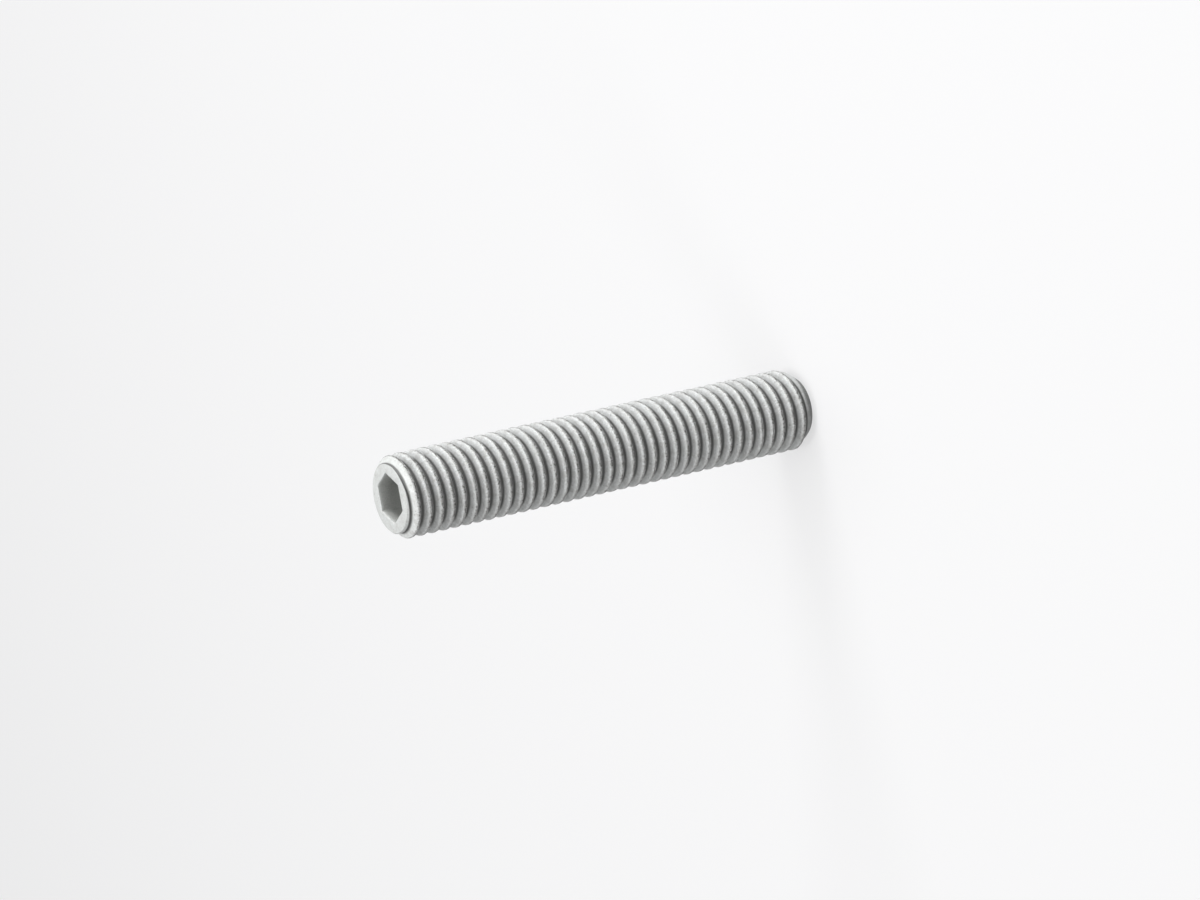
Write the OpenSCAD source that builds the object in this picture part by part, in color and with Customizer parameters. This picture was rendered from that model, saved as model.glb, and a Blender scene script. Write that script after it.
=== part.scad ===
// Stud bolt, M10 x 1.5 x 55: a fully threaded steel stud with a 5 mm hex
// socket in its upper end and a chamfered flat point at its lower end.
// One piece. Units are millimetres. It stands on its flat point at z = 0,
// with the axis of the thread along +Z and a corner of the hexagon on +X.

/* [Stud] */
// Length over both end faces (nominal 55, tolerance 0.6)
stud_length = 55.5; // [30:0.1:80]
// Zinc-flake grey
stud_color = [0.70, 0.71, 0.71]; // [0:0.01:1]

/* [Thread] */
// Diameter over the crests (nominal 10, less the allowance of tolerance 6g)
crest_d = 9.86; // [9.4:0.01:10.4]
// Pitch of the single right-hand start
pitch = 1.5; // [1.25:0.25:2]
// Radial depth from crest to root
thread_depth = 0.92; // [0.7:0.01:0.95]
// Width of the flat left on each crest
crest_flat = 0.2; // [0.12:0.01:0.3]
// Angle between a flank and the plane square to the axis
flank_angle = 30; // [20:1:30]
// Angle at which a root starts at z = 0
thread_phase = 11; // [0:1:359]
// Straight segments in each turn
turn_segments = 36; // [24:1:36]

/* [Flat point (lower end)] */
// Diameter of the flat face that the stud stands on
point_face_d = 7.4; // [5:0.1:8]
// Angle of the lead-in chamfer from the axis
point_chamfer_angle = 38; // [30:1:60]

/* [Socket end (upper end)] */
// Diameter of the flat ring around the socket
socket_face_d = 8; // [7.4:0.1:8.4]
// Angle of the chamfer from the axis
socket_chamfer_angle = 45; // [30:1:60]

/* [Hex socket] */
// Distance across the flats of the socket
socket_flats = 5.1; // [4:0.02:5.6]
// Depth of the full hexagon
socket_depth = 5.5; // [4:0.1:8]
// Angle of the drill point under the hexagon
drill_point_angle = 120; // [90:5:140]
// Turn of the hexagon about the axis
socket_turn = 0; // [0:5:55]

/* [Hidden] */
overlap = 0.01;
sides_hex = 6;
crest_r = crest_d / 2;
root_r = crest_r - thread_depth;
flank_width = thread_depth * tan(flank_angle);
root_flat = pitch - crest_flat - 2 * flank_width;
// The blank clears the crests, so that it trims the thread at its ends only.
blank_clearance = 0.3;
blank_r = crest_r + blank_clearance;
point_chamfer = (blank_r - point_face_d / 2) / tan(point_chamfer_angle);
socket_chamfer = (blank_r - socket_face_d / 2) / tan(socket_chamfer_angle);
spare_turns = 2;
turns = ceil(stud_length / pitch) + 2 * spare_turns;
steps = turns * turn_segments;
socket_corner_r = socket_flats / 2 / cos(180 / sides_hex);
drill_r = socket_flats / 2;
drill_depth = drill_r / tan(drill_point_angle / 2);

// One pitch of the thread from root to root: [radius, height].
profile = [
    [root_r, 0],
    [root_r, root_flat],
    [crest_r, root_flat + flank_width],
    [crest_r, root_flat + flank_width + crest_flat]
];
rows = len(profile);

function helix_point(step, row) =
    let (a = thread_phase + 360 * step / turn_segments)
    [
        profile[row][0] * cos(a),
        profile[row][0] * sin(a),
        pitch * (step / turn_segments - spare_turns) + profile[row][1]
    ];

// Index of a point; past the last row it is the root edge one turn later.
function at(step, row) =
    row == rows ? at(step + turn_segments, 0)
    : step <= steps ? step * rows + row
    : (steps + 1) * rows + step - steps - 1;

// A closed screw surface, swept row by row and capped with a fan at each end.
module screw() {
    points = [
        for (step = [0 : steps], row = [0 : rows - 1]) helix_point(step, row),
        for (step = [steps + 1 : steps + turn_segments]) helix_point(step, 0),
        [0, 0, helix_point(0, 0)[2]],
        [0, 0, helix_point(steps + turn_segments, 0)[2]]
    ];
    low = len(points) - 2;
    high = len(points) - 1;
    polyhedron(
        points = points,
        faces = [
            for (step = [0 : steps - 1], row = [0 : rows - 1], half = [0, 1])
                half == 0
                ? [at(step, row), at(step, row + 1), at(step + 1, row + 1)]
                : [at(step, row), at(step + 1, row + 1), at(step + 1, row)],
            for (step = [0 : turn_segments - 1])
                [low, at(step, 0), at(step + 1, 0)],
            for (row = [0 : rows - 1])
                [low, at(0, row + 1), at(0, row)],
            for (step = [steps : steps + turn_segments - 1])
                [high, at(step + 1, 0), at(step, 0)],
            for (row = [0 : rows - 1])
                [high, at(steps, row), at(steps, row + 1)]
        ]
    );
}

// The turned bar with its two chamfers.
module blank() {
    rotate_extrude($fn = 120)
        polygon([
            [0, 0],
            [point_face_d / 2, 0],
            [blank_r, point_chamfer],
            [blank_r, stud_length - socket_chamfer],
            [socket_face_d / 2, stud_length],
            [0, stud_length]
        ]);
}

// The broached hexagon over its drill point.
module hex_socket() {
    translate([0, 0, stud_length - socket_depth])
        rotate([0, 0, socket_turn])
            cylinder(h = socket_depth + overlap, r = socket_corner_r, $fn = sides_hex);
    translate([0, 0, stud_length - socket_depth - drill_depth])
        cylinder(h = drill_depth, r1 = 0, r2 = drill_r, $fn = 60);
}

module stud() {
    color(stud_color)
        difference() {
            intersection() {
                screw();
                blank();
            }
            hex_socket();
        }
}

stud();
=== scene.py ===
import math

import bmesh
import bpy
from bpy.props import FloatProperty, FloatVectorProperty, IntProperty, PointerProperty
from mathutils import Matrix, Vector, noise


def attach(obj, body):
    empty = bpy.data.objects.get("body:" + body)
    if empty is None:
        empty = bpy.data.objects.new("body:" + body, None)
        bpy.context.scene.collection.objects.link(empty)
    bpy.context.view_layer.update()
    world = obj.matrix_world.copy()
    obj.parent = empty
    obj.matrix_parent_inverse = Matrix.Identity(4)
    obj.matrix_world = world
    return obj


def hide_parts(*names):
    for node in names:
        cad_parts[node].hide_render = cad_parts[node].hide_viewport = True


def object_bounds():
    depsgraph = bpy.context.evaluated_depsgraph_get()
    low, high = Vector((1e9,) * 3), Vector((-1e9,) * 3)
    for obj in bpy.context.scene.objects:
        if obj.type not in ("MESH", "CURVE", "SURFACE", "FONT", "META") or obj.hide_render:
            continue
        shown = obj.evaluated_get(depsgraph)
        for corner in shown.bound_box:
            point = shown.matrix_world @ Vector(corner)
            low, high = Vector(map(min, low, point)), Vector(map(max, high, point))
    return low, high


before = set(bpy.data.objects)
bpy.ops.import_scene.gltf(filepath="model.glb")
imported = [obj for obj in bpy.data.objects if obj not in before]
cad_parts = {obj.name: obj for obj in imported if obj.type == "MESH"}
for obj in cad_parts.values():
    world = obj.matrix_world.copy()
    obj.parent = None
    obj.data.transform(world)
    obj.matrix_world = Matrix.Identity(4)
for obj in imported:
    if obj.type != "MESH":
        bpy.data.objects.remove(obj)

bl_info = {
    "name": "Stud Bolt",
    "version": (1, 0, 0),
    "blender": (4, 5, 0),
    "location": "View3D > Sidebar > Stud Bolt",
    "description": "Models a threaded stud with a hexagon socket and its zinc-flake coat",
    "category": "Add Mesh",
}

MM = 0.001
CAD_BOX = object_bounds()
STUD_LENGTH = CAD_BOX[1].z - CAD_BOX[0].z
CREST_DIAMETER = CAD_BOX[1].x - CAD_BOX[0].x
AXIS = Vector((0, 0, 1))
ORIGIN = Vector((0, 0, 0))
CREST_CENTRE = 0.869 * MM
MERGE_DISTANCE = 0.002 * MM
SHARP_ANGLE = math.radians(32)
FLANK_ANGLE = math.radians(30)
ROOT_RISE = 0.12 * MM  # where the flank ends and the root starts to round
ROOT_HALF_FLAT = 0.09 * MM
ROOT_ROUND_RISE = 0.02 * MM
CREST_STEPS = 6
WORN_HEIGHT = 0.35 * MM  # how far down from the crests the wear reaches
FOLD_HALF_WIDTH = 0.10 * MM
FACE_STEPS = 4
MOUTH_STEPS = 3
FLOOR_RADIUS = 3.0

# name, direction from the stud, distance and size in metres, watts
LAMPS = (
    ("side_softbox", (1.0, -0.05, 0.20), 0.55, 0.20, 2.8),
    ("top_softbox", (0.12, -0.12, 1.0), 0.55, 0.35, 3.0),
    ("low_fill", (-0.75, -0.65, 0.20), 0.80, 0.30, 2.2),
)


def length(name, description, default):
    """A distance that a user may change."""
    return FloatProperty(
        name=name, description=description, default=default, min=0,
        subtype="DISTANCE", unit="LENGTH", precision=6,
    )


def angle(name, description, degrees):
    """An angle that a user may change."""
    return FloatProperty(
        name=name, description=description, default=math.radians(degrees),
        subtype="ANGLE", unit="ROTATION",
    )


def colour(name, description, default):
    """A colour that a user may change."""
    return FloatVectorProperty(
        name=name, description=description, default=default, size=3,
        min=0, max=1, subtype="COLOR",
    )


def share(name, description, default):
    """A number from 0 to 1 that a user may change."""
    return FloatProperty(
        name=name, description=description, default=default,
        min=0, max=1, subtype="FACTOR",
    )


class ThreadSizes(bpy.types.PropertyGroup):
    """The rolled thread"""
    pitch: length("Pitch", "Advance of the thread in one turn", 1.5 * MM)
    depth: length("Depth", "Radial depth from crest to root", 0.92 * MM)
    crest_round: length("Crest round", "Radius of the rolled crest", 0.34 * MM)
    lean: length("Lean", "How far the rolled crest leans towards the socket", 0.07 * MM)
    seam_depth: length(
        "Seam depth", "Depth of the fold that rolling leaves on the crest", 0.045 * MM,
    )
    phase: angle("Phase", "Angle at which a root starts at the lower end", 11)
    turn_segments: IntProperty(
        name="Turn segments", description="Straight segments in each turn", default=128, min=24,
    )
    wear: length("Wear", "Largest dent in a crest", 0.05 * MM)


class EndSizes(bpy.types.PropertyGroup):
    """The chamfers and faces of both ends"""
    socket_face: length("Socket face", "Diameter of the flat ring around the socket", 8.0 * MM)
    socket_slope: angle("Socket chamfer", "Chamfer at the socket, from the axis", 45)
    point_face: length("Point face", "Diameter of the face the stud stands on", 7.4 * MM)
    point_slope: angle("Point chamfer", "Chamfer at the flat point, from the axis", 38)
    edge_round: length("Edge round", "Round where a chamfer meets its face", 0.06 * MM)


class SocketSizes(bpy.types.PropertyGroup):
    """The hexagon socket"""
    flats: length("Across flats", "Width of the hexagon", 5.1 * MM)
    depth: length("Depth", "Depth of the full hexagon", 5.5 * MM)
    corner_round: length("Corner round", "Round in each corner of the hexagon", 0.12 * MM)
    mouth_round: length("Mouth round", "Round on the edge of the mouth", 0.07 * MM)
    drill_angle: angle("Drill point", "Full angle of the cone under the hexagon", 120)


class CoatColours(bpy.types.PropertyGroup):
    """The colours and gloss of the coat"""
    flake: colour("Flake", "The coat where it is even", (0.71, 0.725, 0.725))
    shade: colour("Shade", "The coat where it is thin or dusty", (0.43, 0.43, 0.415))
    pit: colour("Pit", "Bare specks along the crests", (0.045, 0.040, 0.035))
    # Partly the coat's own duller tone on the socket end, partly painted shade that tones down
    # the light falling on the face and its chamfer.
    end: colour("End", "The coat on the socket end", (0.525, 0.54, 0.53))
    # Painted shade: this dark tone is laid into the roots, where the teeth shade each other, and
    # on the far side of the crests.
    root: colour("Root", "The coat in the roots", (0.075, 0.075, 0.072))
    # A darker tone for the walls inside the socket.
    socket: colour("Socket", "The bare walls of the socket", (0.33, 0.345, 0.33))
    roughness: share("Roughness", "Roughness of the coat", 0.55)
    metal: share("Metal", "Metallic look of the coat", 0.12)


class StageSettings(bpy.types.PropertyGroup):
    """The camera, the floor and the sky"""
    lens: FloatProperty(
        name="Lens", description="Focal length in millimetres", default=123.17, min=1,
    )
    distance: length("Distance", "From the camera to the stud", 478.35 * MM)
    azimuth: angle("Azimuth", "Direction of the camera about the axis", -85.08)
    elevation: angle("Elevation", "Height of the camera over the floor", 29.48)
    roll: angle("Roll", "Turn of the camera about its line of sight", 102.64)
    target: FloatVectorProperty(
        name="Target", description="Point the camera looks at",
        default=(0.15 * MM, -0.11 * MM, 27.53 * MM), size=3, subtype="XYZ", unit="LENGTH",
    )
    floor: colour("Floor", "The pale floor and background", (0.885, 0.885, 0.89))
    floor_glow: share("Floor glow", "How much of the floor's look takes no shadow", 0.72)
    floor_bounce: share("Floor bounce", "Share of its light that the floor throws back", 0.18)
    sky_dim: share("Dim sky", "Light of the sky from the far side", 0.10)
    sky_bright: share("Bright sky", "Light of the sky from the lit side", 0.32)


# ---------------------------------------------------------------- mesh helpers

def radius_of(point):
    """Distance of a point from the axis of the stud."""
    return math.hypot(point.x, point.y)


def set_radius(vert, radius):
    """Moves a vertex straight out from or in to the axis."""
    here = radius_of(vert.co)
    if here > 0:
        vert.co.x *= radius / here
        vert.co.y *= radius / here


def ease(t):
    """A smooth step from 0 to 1."""
    t = min(1.0, max(0.0, t))
    return t * t * (3 - 2 * t)


def half_tooth(sizes, lean):
    """Half of a tooth, crest to root, as (distance from its middle, drop) points."""
    slope = math.tan(FLANK_ANGLE)
    root_half = ROOT_HALF_FLAT + lean
    arc = sizes.crest_round
    # The crest's arc is squeezed or stretched sideways to meet the flank.
    straight = sizes.pitch / 2 - root_half - (sizes.depth - ROOT_RISE) * slope
    reach = arc * math.cos(FLANK_ANGLE)
    squeeze = (straight + arc * (1 - math.sin(FLANK_ANGLE)) * slope) / reach
    points = []
    for step in range(CREST_STEPS + 1):
        turn = (math.pi / 2 - FLANK_ANGLE) * step / CREST_STEPS
        points.append((arc * math.sin(turn) * squeeze, arc * (1 - math.cos(turn))))
    return [
        *points,
        (sizes.pitch / 2 - root_half, sizes.depth - ROOT_RISE),
        (sizes.pitch / 2 - root_half * 0.5, sizes.depth - ROOT_ROUND_RISE),
    ]


def rolled_profile(sizes):
    """One pitch of the thread, root to root, as (height, radius) points.

    The flanks stand at 30 degrees and roll over into a round crest, which leans
    towards the socket, so the lower half of each root is the wider one.
    """
    top = CREST_DIAMETER / 2
    below, above = half_tooth(sizes, sizes.lean), half_tooth(sizes, 0)[1:]
    lower = [(CREST_CENTRE - z, top - drop) for z, drop in reversed(below)]
    upper = [(CREST_CENTRE + z, top - drop) for z, drop in above]
    start, end = CREST_CENTRE - sizes.pitch / 2, CREST_CENTRE + sizes.pitch / 2
    return [(start, top - sizes.depth), *lower, *upper, (end, top - sizes.depth)]


def add_polyline(bm, points):
    """A chain of edges through the points."""
    verts = [bm.verts.new(p) for p in points]
    return verts, [bm.edges.new(pair) for pair in zip(verts, verts[1:])]


def turned_radius(height, ends):
    """Radius of the turned blank at a height: a cylinder with a chamfer at each end."""
    def chamfer(from_end, face, slope):
        return face / 2 + from_end * math.tan(slope)

    return min(
        CREST_DIAMETER / 2,
        chamfer(height, ends.point_face, ends.point_slope),
        chamfer(STUD_LENGTH - height, ends.socket_face, ends.socket_slope),
    )


def wear_crests(bm, thread):
    """The broken fold along the crests, and small dents and waves, never outwards."""
    top = CREST_DIAMETER / 2
    for vert in bm.verts:
        radius = radius_of(vert.co)
        height = ease((radius - (top - WORN_HEIGHT)) / WORN_HEIGHT)
        if height > 0:
            spot = vert.co / MM
            along = (vert.co.z - CREST_CENTRE) / thread.pitch
            around = (math.atan2(vert.co.y, vert.co.x) - thread.phase) / (2 * math.pi)
            from_crest = abs((along - around + 0.5) % 1 - 0.5) * thread.pitch
            unbroken = ease(0.5 + 1.6 * noise.noise(spot * 0.35))
            fold = ease(1 - from_crest / FOLD_HALF_WIDTH) * unbroken
            wave = 0.5 + 0.5 * noise.noise(spot * 0.9)
            chip = max(0.0, noise.noise(spot * 2.6 + Vector((7, 3, 1))) - 0.15)
            dent = thread.wear * height * (0.35 * wave + 1.5 * chip)
            set_radius(vert, radius - dent - thread.seam_depth * fold)


def open_loop(bm, height):
    """The boundary edges that lie at a height."""
    return [
        e for e in bm.edges
        if e.is_boundary and all(abs(v.co.z - height) < MERGE_DISTANCE for v in e.verts)
    ]


def extrude_rim(bm, edges):
    """Extrudes a rim of edges in place; gives the new edges and vertices."""
    new = bmesh.ops.extrude_edge_only(bm, edges=edges)["geom"]
    return (
        [g for g in new if isinstance(g, bmesh.types.BMEdge)],
        [g for g in new if isinstance(g, bmesh.types.BMVert)],
    )


def round_over(bm, rim, height, face_radius, ends, up):
    """Rolls the rim of a chamfer over to the flat face in a few narrow rings."""
    base = height - up * ends.edge_round
    goal = face_radius - ends.edge_round * 0.6
    for step in range(1, FACE_STEPS + 1):
        turn = math.pi / 2 * step / FACE_STEPS
        blend = 1 - math.cos(turn)
        rim, verts = extrude_rim(bm, rim)
        for v in verts:
            here = radius_of(v.co)
            set_radius(v, here + (goal - here) * blend)
            v.co.z = base + up * ends.edge_round * math.sin(turn)
    return rim


def hexagon_rim(bm, socket, height):
    """A hexagon with rounded corners, in short edges, a corner on +X."""
    corner = socket.flats / 2 / math.cos(math.pi / 6)
    made = bmesh.ops.create_circle(bm, segments=6, radius=corner)["verts"]
    bmesh.ops.rotate(
        bm, verts=made, cent=ORIGIN, matrix=Matrix.Rotation(math.pi / 2, 3, "Z"),
    )
    bmesh.ops.translate(bm, verts=made, vec=AXIS * height)
    bmesh.ops.bevel(
        bm, geom=made + [e for e in bm.edges if e.is_wire], offset=socket.corner_round,
        offset_type="OFFSET", segments=3, affect="VERTICES", profile=0.5, material=-1,
    )
    sides = [e for e in bm.edges if e.is_wire and e.calc_length() > socket.flats / 4]
    bmesh.ops.subdivide_edges(bm, edges=sides, cuts=11)
    return [e for e in bm.edges if e.is_wire]


def smooth_mesh(mesh):
    """Smooth shading that stays sharp at real edges."""
    for polygon in mesh.polygons:
        polygon.use_smooth = True
    mesh.set_sharp_from_angle(angle=SHARP_ANGLE)


def as_object(bm, name):
    """The finished mesh as an object at the origin."""
    mesh = bpy.data.meshes.new(name)
    bm.to_mesh(mesh)
    bm.free()
    smooth_mesh(mesh)
    made = bpy.data.objects.new(name, mesh)
    bpy.context.scene.collection.objects.link(made)
    return made


# ------------------------------------------------------------------- the stud

def screw_surface(bm, thread):
    """Sweeps one pitch of the profile through one turn, then stacks the turns.

    The stack reaches past both ends, so that each end can be cut square.
    """
    c, s = math.cos(thread.phase), math.sin(thread.phase)
    points = [(r * c, r * s, z - 2 * thread.pitch) for z, r in rolled_profile(thread)]
    verts, edges = add_polyline(bm, points)
    bmesh.ops.spin(
        bm, geom=verts + edges, cent=ORIGIN, axis=AXIS,
        dvec=AXIS * thread.pitch / thread.turn_segments,
        angle=2 * math.pi, steps=thread.turn_segments,
        use_merge=False, use_duplicate=False,
    )
    one_turn = bm.verts[:] + bm.edges[:] + bm.faces[:]
    for turn in range(1, math.ceil(STUD_LENGTH / thread.pitch) + 3):
        copy = bmesh.ops.duplicate(bm, geom=one_turn)["geom"]
        verts = [g for g in copy if isinstance(g, bmesh.types.BMVert)]
        bmesh.ops.translate(bm, verts=verts, vec=AXIS * thread.pitch * turn)
    bmesh.ops.remove_doubles(bm, verts=bm.verts, dist=MERGE_DISTANCE)


def cut_off(bm, height, up):
    """Removes what lies past a height."""
    bmesh.ops.bisect_plane(
        bm, geom=bm.verts[:] + bm.edges[:] + bm.faces[:],
        plane_co=AXIS * height, plane_no=AXIS * up, clear_outer=True,
        dist=MERGE_DISTANCE / 4,
    )


def trim_to_blank(bm, ends):
    """Cuts the thread down to the chamfers of the blank."""
    for vert in bm.verts:
        limit = turned_radius(vert.co.z, ends)
        if radius_of(vert.co) > limit:
            set_radius(vert, limit)


def close_point(bm, rim, ends):
    """Rings of faces across the flat point, and its middle."""
    for size in (0.8, 0.5, 0.2):
        rim, verts = extrude_rim(bm, rim)
        for v in verts:
            set_radius(v, ends.point_face / 2 * size)
    bmesh.ops.contextual_create(bm, geom=rim)


def scaled_rim(bm, rim, scale, drop):
    """Extrudes a rim, scales it about the axis and moves it down."""
    rim, verts = extrude_rim(bm, rim)
    bmesh.ops.scale(bm, verts=verts, vec=(scale, scale, 1))
    bmesh.ops.translate(bm, verts=verts, vec=AXIS * -drop)
    return rim


def round_mouth(bm, rim, socket):
    """Rolls the rim of the hexagon over from the face to the walls."""
    size = socket.mouth_round
    wide = socket.flats + 2 * size
    bmesh.ops.scale(
        bm, verts=list({v for e in rim for v in e.verts}),
        vec=(wide / socket.flats, wide / socket.flats, 1),
    )
    before, sunk = wide, 0.0
    for step in range(1, MOUTH_STEPS + 1):
        turn = math.pi / 2 * step / MOUTH_STEPS
        after = wide - 2 * size * math.sin(turn)
        depth = size * (1 - math.cos(turn))
        rim = scaled_rim(bm, rim, after / before, depth - sunk)
        before, sunk = after, depth
    return rim


def sink_socket(bm, rim, socket):
    """Walls, floor ledge and drill point of the hexagon, from its rounded mouth down."""
    drill = socket.flats / 2 * 0.97
    wall = socket.depth - socket.mouth_round
    for part in (0.3, 0.4, 0.3):
        rim = scaled_rim(bm, rim, 1, wall * part)
    rim, verts = extrude_rim(bm, rim)
    for v in verts:
        set_radius(v, drill)
    fall = 1 / math.tan(socket.drill_angle / 2)
    for before, after in ((1, 0.5), (0.5, 0.1)):
        rim = scaled_rim(bm, rim, after / before, drill * (before - after) * fall)
    bmesh.ops.contextual_create(bm, geom=rim)


def model_stud(thread, ends, socket):
    """The whole stud as one closed mesh."""
    bm = bmesh.new()
    screw_surface(bm, thread)
    low, high = ends.edge_round, STUD_LENGTH - ends.edge_round
    trim_to_blank(bm, ends)
    cut_off(bm, low, -1)
    cut_off(bm, high, 1)
    wear_crests(bm, thread)
    point_rim = round_over(bm, open_loop(bm, low), 0, ends.point_face / 2, ends, -1)
    face_rim = round_over(
        bm, open_loop(bm, high), STUD_LENGTH, ends.socket_face / 2, ends, 1
    )
    close_point(bm, point_rim, ends)

    mouth = hexagon_rim(bm, socket, STUD_LENGTH)
    walls = round_mouth(bm, mouth, socket)
    bmesh.ops.bridge_loops(bm, edges=scaled_rim(bm, mouth, 1.07, 0) + face_rim)
    sink_socket(bm, walls, socket)
    bmesh.ops.remove_doubles(bm, verts=bm.verts, dist=MERGE_DISTANCE / 4)
    bmesh.ops.recalc_face_normals(bm, faces=bm.faces)
    return as_object(bm, "threaded_stud")


# ------------------------------------------------------------------ materials

class Shader:
    """A node tree, with short calls to add and join nodes."""

    def __init__(self, tree):
        self.tree = tree
        self.tree.nodes.clear()

    def node(self, kind, inputs=None, **settings):
        """A node whose inputs take sockets or plain values."""
        made = self.tree.nodes.new(kind)
        for key, value in settings.items():
            setattr(made, key, value)
        for key, value in (inputs or {}).items():
            if isinstance(value, bpy.types.NodeSocket):
                self.tree.links.new(value, made.inputs[key])
            else:
                made.inputs[key].default_value = value
        return made

    def math(self, operation, a, b=0.0):
        """One step of arithmetic."""
        return self.node("ShaderNodeMath", {0: a, 1: b}, operation=operation).outputs[0]

    def ramp(self, value, low, high, bottom=0.0, top=1.0):
        """Maps low..high smoothly to bottom..top."""
        return self.node(
            "ShaderNodeMapRange",
            {"Value": value, "From Min": low, "From Max": high, "To Min": bottom, "To Max": top},
            interpolation_type="SMOOTHSTEP",
        ).outputs["Result"]

    def pick(self, factor, a, b):
        """The number a where the factor is 0, b where it is 1."""
        return self.node("ShaderNodeMix", {0: factor, 2: a, 3: b}, data_type="FLOAT").outputs[0]

    def mix(self, factor, a, b):
        """The colour a where the factor is 0, b where it is 1."""
        made = self.node("ShaderNodeMix", data_type="RGBA")
        for key, value in ((0, factor), (6, a), (7, b)):
            if isinstance(value, bpy.types.NodeSocket):
                self.tree.links.new(value, made.inputs[key])
            elif key == 0:
                made.inputs[key].default_value = value
            else:
                made.inputs[key].default_value = (*value, 1)
        return made.outputs[2]

    def noise(self, vector, per_mm, detail=3.0, roughness=0.55):
        """Smooth noise, with its scale given per millimetre."""
        return self.node(
            "ShaderNodeTexNoise",
            {"Vector": vector, "Scale": per_mm / MM, "Detail": detail, "Roughness": roughness},
        ).outputs["Fac"]


def new_material(name):
    """An empty material and its shader."""
    material = bpy.data.materials.new(name)
    material.use_nodes = True
    return material, Shader(material.node_tree)


def turn_place(s, axes, thread):
    """Place along the thread: 0 in a root, 0.5 on a crest, 1 in the next root."""
    around = s.math("DIVIDE", s.math("ARCTAN2", axes.outputs[1], axes.outputs[0]), 2 * math.pi)
    along = s.math("DIVIDE", axes.outputs[2], thread.pitch)
    start = thread.phase / (2 * math.pi) - CREST_CENTRE / thread.pitch + 0.5
    return s.math("FRACT", s.math("ADD", s.math("SUBTRACT", along, around), start))


def coat_places(s, place, thread, socket):
    """Masks from 0 to 1 for the places where the coat looks different, or where shade or light
    is painted.
    """
    axes = s.node("ShaderNodeSeparateXYZ", {0: place})
    x, y, height = axes.outputs
    radius = s.math("SQRT", s.math("ADD", s.math("POWER", x, 2.0), s.math("POWER", y, 2.0)))
    turn = turn_place(s, axes, thread)
    top = CREST_DIAMETER / 2
    bottom = top - thread.depth
    threaded = s.ramp(radius, bottom - 0.05 * MM, bottom - 0.01 * MM)
    from_root = s.math("PINGPONG", s.math("SUBTRACT", turn, 0.01), 0.5)
    crest = s.ramp(radius, top - 0.28 * MM, top - 0.08 * MM)
    deep = s.ramp(height, STUD_LENGTH - 0.05 * MM, STUD_LENGTH - 0.5 * MM)
    within = s.ramp(radius, socket.flats * 0.61, socket.flats * 0.59)
    return {
        # Painted shade in the roots, where the teeth shade each other.
        "root": s.math("MULTIPLY", s.ramp(from_root, 0.17, 0.07), threaded),
        "crest": crest,
        "crest_band": s.math("MULTIPLY", s.ramp(crest, 0.1, 0.8), s.ramp(turn, 0.68, 0.54)),
        # Painted shade on the far side of each crest, which turns away from the light.
        "far_crest_shade": s.math("MULTIPLY", s.ramp(turn, 0.57, 0.44), crest),
        # Painted light: the flank facing the socket end, where the light falls, is kept at the
        # pale flake tone.
        "painted_lit_flank": s.ramp(turn, 0.60, 0.72, 0.0, 0.6),
        "lap_side": s.ramp(turn, 0.66, 0.54),
        # Socket face and chamfer: partly the coat's duller tone, partly painted shade against
        # the top lamp's light.
        "socket_end": s.ramp(
            height, STUD_LENGTH - 1.0 * MM, STUD_LENGTH - 0.5 * MM, 0.0, 0.75,
        ),
        # Darker towards the flat point, in the root tone.
        "point_end": s.ramp(height, 1.1 * MM, 0.8 * MM, 0.0, 0.6),
        "inside": s.math("MULTIPLY", deep, within),
    }


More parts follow.
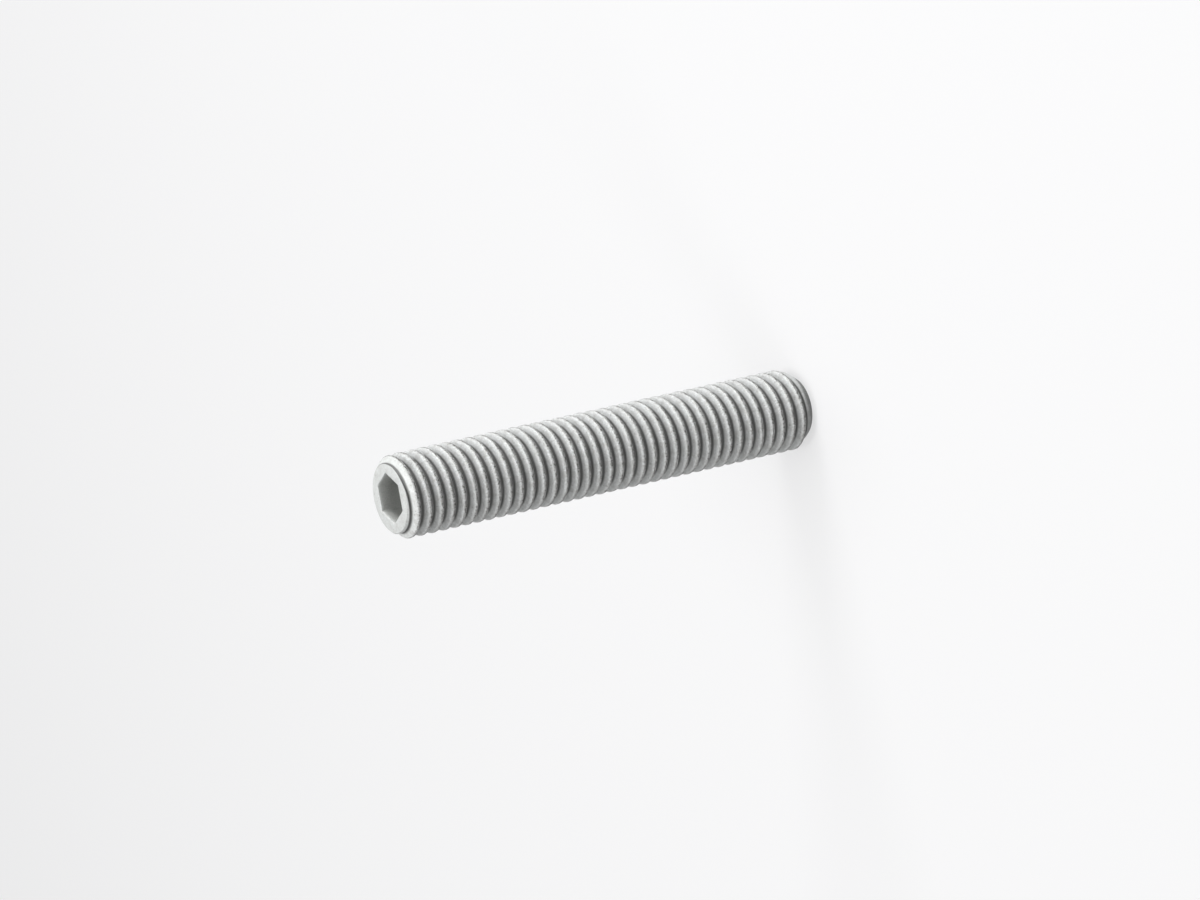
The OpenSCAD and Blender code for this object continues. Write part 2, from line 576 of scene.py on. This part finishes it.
def zinc_flake(coat, thread, socket):
    """Grey zinc-flake coat: fine grain, dull patches, pitted crests, painted shade in the roots
    and on the far side of each crest, and painted light on the flank facing the socket end.
    """
    material, s = new_material("zinc_flake_coat")
    place = s.node("ShaderNodeTexCoord").outputs["Object"]
    at = coat_places(s, place, thread, socket)
    grain = s.noise(place, 5.5, 5.0, 0.75)
    fine = s.noise(place, 16.0, 3.0, 0.6)
    patch = s.noise(place, 1.3, 3.0, 0.6)
    speck = s.noise(place, 4.6, 4.0, 0.65)
    around = s.node(
        "ShaderNodeMapping", {"Vector": place, "Scale": (0.12, 0.12, 1.0)},
    ).outputs[0]
    streak = s.noise(around, 7.5, 2.0, 0.5)

    # The even flake tone follows the grain, and on the flank facing the socket end it is painted
    # light.
    covered_or_lit = s.math("MAXIMUM", s.ramp(grain, 0.40, 0.58), at["painted_lit_flank"])
    tone = s.mix(covered_or_lit, coat.shade, coat.flake)
    # The socket end toned down: partly its own duller coat, partly painted shade.
    tone = s.mix(at["socket_end"], tone, coat.end)
    tone = s.mix(s.ramp(patch, 0.44, 0.68, 0.0, 0.5), tone, coat.shade)
    # Painted shade: the roots are darkened towards the root tone.
    tone = s.mix(s.math("MULTIPLY", at["root"], 0.9), tone, coat.root)
    # Painted shade on the far side of each crest.
    tone = s.mix(s.math("MULTIPLY", at["far_crest_shade"], 0.45), tone, coat.root)
    laps = s.math("MULTIPLY", s.ramp(streak, 0.50, 0.62, 0.0, 0.55), at["lap_side"])
    tone = s.mix(s.math("MULTIPLY", laps, at["crest"]), tone, coat.pit)
    # Darker towards the flat point, in the root tone.
    tone = s.mix(at["point_end"], tone, coat.root)
    scuffs = s.math("MULTIPLY", s.ramp(fine, 0.44, 0.60, 0.0, 0.55), at["crest_band"])
    tone = s.mix(scuffs, tone, coat.pit)
    crest_pits = s.math("MULTIPLY", s.ramp(speck, 0.545, 0.61), at["crest_band"])
    pits = s.math("MAXIMUM", crest_pits, s.ramp(speck, 0.63, 0.70, 0.0, 0.7))
    tone = s.mix(pits, tone, coat.pit)
    # The walls inside the socket take a darker tone.
    darker = s.mix(s.ramp(grain, 0.35, 0.65), coat.socket, coat.shade)
    tone = s.mix(at["inside"], tone, darker)

    grainy = s.math("ADD", s.math("MULTIPLY", grain, 0.6), s.math("MULTIPLY", fine, 0.3))
    height = s.math("SUBTRACT", grainy, s.math("MULTIPLY", pits, 0.8))
    bump = s.node(
        "ShaderNodeBump", {"Strength": 0.85, "Distance": 0.03 * MM, "Height": height},
    )
    rough = s.ramp(s.noise(place, 2.0), 0.3, 0.7, coat.roughness - 0.08, coat.roughness + 0.12)
    shader = s.node(
        "ShaderNodeBsdfPrincipled",
        {
            "Base Color": tone, "Metallic": coat.metal,
            "Roughness": rough, "Normal": bump.outputs[0],
        },
    )
    s.node("ShaderNodeOutputMaterial", {"Surface": shader.outputs[0]})
    return material


def background_rays(s):
    """1 for rays that should see the plain background: camera, glossy, transmission."""
    path = s.node("ShaderNodeLightPath").outputs
    return s.math(
        "MAXIMUM", path["Is Camera Ray"],
        s.math("MAXIMUM", path["Is Glossy Ray"], path["Is Transmission Ray"]),
    )


def pale_floor(stage):
    """A floor that looks even and pale, takes the shadow and throws little light back."""
    material, s = new_material("pale_floor")
    seen = background_rays(s)
    tone = s.mix(seen, [c * stage.floor_bounce for c in stage.floor], stage.floor)
    lit = s.node("ShaderNodeBsdfDiffuse", {"Color": tone})
    plain = s.node("ShaderNodeEmission", {"Color": (*stage.floor, 1), "Strength": 1.0})
    share_plain = s.math("MULTIPLY", seen, stage.floor_glow)
    both = s.node(
        "ShaderNodeMixShader", {0: share_plain, 1: lit.outputs[0], 2: plain.outputs[0]},
    )
    s.node("ShaderNodeOutputMaterial", {"Surface": both.outputs[0]})
    return material


# ---------------------------------------------------------------------- stage

def area_lamp(name, toward, distance, size, power):
    """A soft lamp that looks at the stud from a direction."""
    data = bpy.data.lights.new(name, "AREA")
    data.shape = "SQUARE"
    data.size = size
    data.energy = power
    lamp = bpy.data.objects.new(name, data)
    middle = Vector((0, 0, STUD_LENGTH / 2))
    back = Vector(toward).normalized()
    lamp.location = middle + back * distance
    lamp.rotation_euler = back.to_track_quat("Z", "Y").to_euler()
    bpy.context.scene.collection.objects.link(lamp)


def stand_camera(stage):
    """The camera at its direction, distance and roll."""
    data = bpy.data.cameras.new("camera")
    data.lens = stage.lens
    data.sensor_width = 36
    data.clip_start = 0.01
    cam = bpy.data.objects.new("camera", data)
    flat = math.cos(stage.elevation)
    back = Vector((
        flat * math.cos(stage.azimuth), flat * math.sin(stage.azimuth),
        math.sin(stage.elevation),
    ))
    right = AXIS.cross(back).normalized()
    up = back.cross(right)
    turn = Matrix.Rotation(-stage.roll, 3, back)
    right, up = turn @ right, turn @ up
    cam.matrix_world = Matrix((
        (right.x, up.x, back.x, 0), (right.y, up.y, back.y, 0),
        (right.z, up.z, back.z, 0), (0, 0, 0, 1),
    ))
    cam.location = Vector(stage.target) + back * stage.distance
    bpy.context.scene.collection.objects.link(cam)
    bpy.context.scene.camera = cam


def light_world(stage):
    """An even pale sky to look at, whose light is stronger from one side."""
    world = bpy.data.worlds.new("sky")
    world.use_nodes = True
    s = Shader(world.node_tree)
    direction = s.node("ShaderNodeTexCoord").outputs["Generated"]
    toward = s.node("ShaderNodeSeparateXYZ", {0: direction})
    light = s.ramp(toward.outputs[0], -1.0, 1.0, stage.sky_dim, stage.sky_bright)
    strength = s.pick(background_rays(s), light, 1.0)
    sky = s.node("ShaderNodeBackground", {"Color": (*stage.floor, 1), "Strength": strength})
    s.node("ShaderNodeOutputWorld", {"Surface": sky.outputs[0]})
    bpy.context.scene.world = world


# ------------------------------------------------------------------ operators

class STUD_OT_threaded_stud(bpy.types.Operator):
    """Model the threaded stud with its socket and coat"""
    bl_idname = "stud.threaded_stud"
    bl_label = "Threaded Stud"

    def execute(self, context):
        scene = context.scene
        stud = model_stud(scene.stud_thread, scene.stud_ends, scene.stud_socket)
        coat = zinc_flake(scene.stud_coat, scene.stud_thread, scene.stud_socket)
        stud.data.materials.append(coat)
        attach(stud, "root")
        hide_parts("stud")
        return {"FINISHED"}


class STUD_OT_stage(bpy.types.Operator):
    """Set out the floor, the lamps and the camera"""
    bl_idname = "stud.stage"
    bl_label = "Stage"

    def execute(self, context):
        stage = context.scene.stud_stage
        bm = bmesh.new()
        bmesh.ops.create_circle(bm, cap_ends=True, segments=64, radius=FLOOR_RADIUS)
        floor = as_object(bm, "floor")
        floor.data.materials.append(pale_floor(stage))
        light_world(stage)
        for lamp in LAMPS:
            area_lamp(*lamp)
        stand_camera(stage)
        return {"FINISHED"}


class STUD_PT_panel(bpy.types.Panel):
    """The pieces of the stud bolt and their sizes"""
    bl_idname = "STUD_PT_panel"
    bl_label = "Stud Bolt"
    bl_space_type = "VIEW_3D"
    bl_region_type = "UI"
    bl_category = "Stud Bolt"

    def draw(self, context):
        for operator in (STUD_OT_threaded_stud, STUD_OT_stage):
            self.layout.operator(operator.bl_idname)
        for name in GROUPS:
            box = self.layout.box()
            group = getattr(context.scene, name)
            for key in group.bl_rna.properties.keys():
                if key not in ("rna_type", "name"):
                    box.prop(group, key)


GROUPS = {
    "stud_thread": ThreadSizes,
    "stud_ends": EndSizes,
    "stud_socket": SocketSizes,
    "stud_coat": CoatColours,
    "stud_stage": StageSettings,
}
CLASSES = (*GROUPS.values(), STUD_OT_threaded_stud, STUD_OT_stage, STUD_PT_panel)


def register():
    for cls in CLASSES:
        bpy.utils.register_class(cls)
    for name, group in GROUPS.items():
        setattr(bpy.types.Scene, name, PointerProperty(type=group))


def unregister():
    for name in GROUPS:
        delattr(bpy.types.Scene, name)
    for cls in reversed(CLASSES):
        bpy.utils.unregister_class(cls)


def main():
    """Runs both operators."""
    register()
    bpy.ops.stud.threaded_stud()
    bpy.ops.stud.stage()
    bpy.context.scene.view_settings.view_transform = "Standard"


if __name__ == "__main__":
    main()
